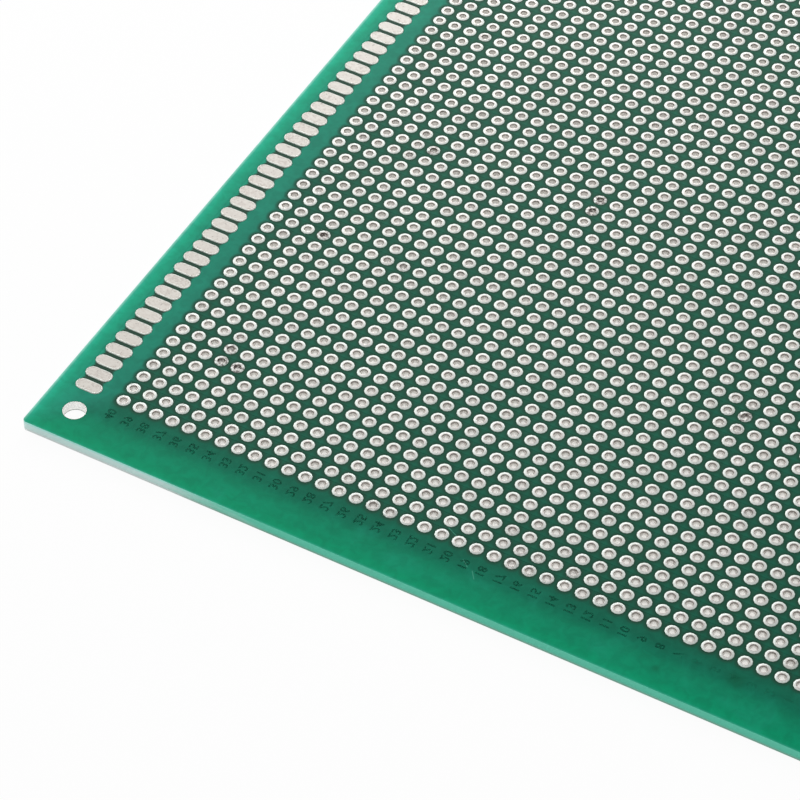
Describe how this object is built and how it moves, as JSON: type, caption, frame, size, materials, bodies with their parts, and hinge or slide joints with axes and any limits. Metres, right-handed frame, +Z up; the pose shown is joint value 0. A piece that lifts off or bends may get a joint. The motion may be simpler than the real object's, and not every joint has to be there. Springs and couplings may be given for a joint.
{
  "type": "prototype board",
  "caption": "Flat green prototype board: a square grid of tinned plated-through holes, oval edge pads along two sides and a mounting hole in each corner.",
  "frame": {"origin": "centre of the board's outline, on the plane of the undersides of the oval pads, which the board rests on", "axes": "+X to the right along the numbered front edge, across the two sides that carry the oval pads; +Y from the front edge to the back edge; +Z up, out of the top face"},
  "size_m": [0.1188, 0.1388, 0.0017],
  "materials": {
    "laminate": "green glass-epoxy laminate under a thin translucent green mask, satin gloss, pale mint cut edges",
    "pad_tin": "hot-dipped tin on copper, softly bright, swelling towards the bore",
    "oval_tin": "flat tinned pad, warm pale grey with a brighter rim"
  },
  "bodies": {
    "root": {"laminate": "laminate", "oval_pads_left_top": "oval_tin", "oval_pads_left_under": "oval_tin", "oval_pads_right_top": "oval_tin", "oval_pads_right_under": "oval_tin", "pad_row_01": "pad_tin", "pad_row_02": "pad_tin", "pad_row_03": "pad_tin", "pad_row_04": "pad_tin", "pad_row_05": "pad_tin", "pad_row_06": "pad_tin", "pad_row_07": "pad_tin", "pad_row_08": "pad_tin", "pad_row_09": "pad_tin", "pad_row_10": "pad_tin", "pad_row_11": "pad_tin", "pad_row_12": "pad_tin", "pad_row_13": "pad_tin", "pad_row_14": "pad_tin", "pad_row_15": "pad_tin", "pad_row_16": "pad_tin", "pad_row_17": "pad_tin", "pad_row_18": "pad_tin", "pad_row_19": "pad_tin", "pad_row_20": "pad_tin", "pad_row_21": "pad_tin", "pad_row_22": "pad_tin", "pad_row_23": "pad_tin", "pad_row_24": "pad_tin", "pad_row_25": "pad_tin", "pad_row_26": "pad_tin", "pad_row_27": "pad_tin", "pad_row_28": "pad_tin", "pad_row_29": "pad_tin", "pad_row_30": "pad_tin", "pad_row_31": "pad_tin", "pad_row_32": "pad_tin", "pad_row_33": "pad_tin", "pad_row_34": "pad_tin", "pad_row_35": "pad_tin", "pad_row_36": "pad_tin", "pad_row_37": "pad_tin", "pad_row_38": "pad_tin", "pad_row_39": "pad_tin", "pad_row_40": "pad_tin", "pad_row_41": "pad_tin", "pad_row_42": "pad_tin", "pad_row_43": "pad_tin", "pad_row_44": "pad_tin", "pad_row_45": "pad_tin", "pad_row_46": "pad_tin", "pad_row_47": "pad_tin", "pad_row_48": "pad_tin"}
  },
  "joints": []
}
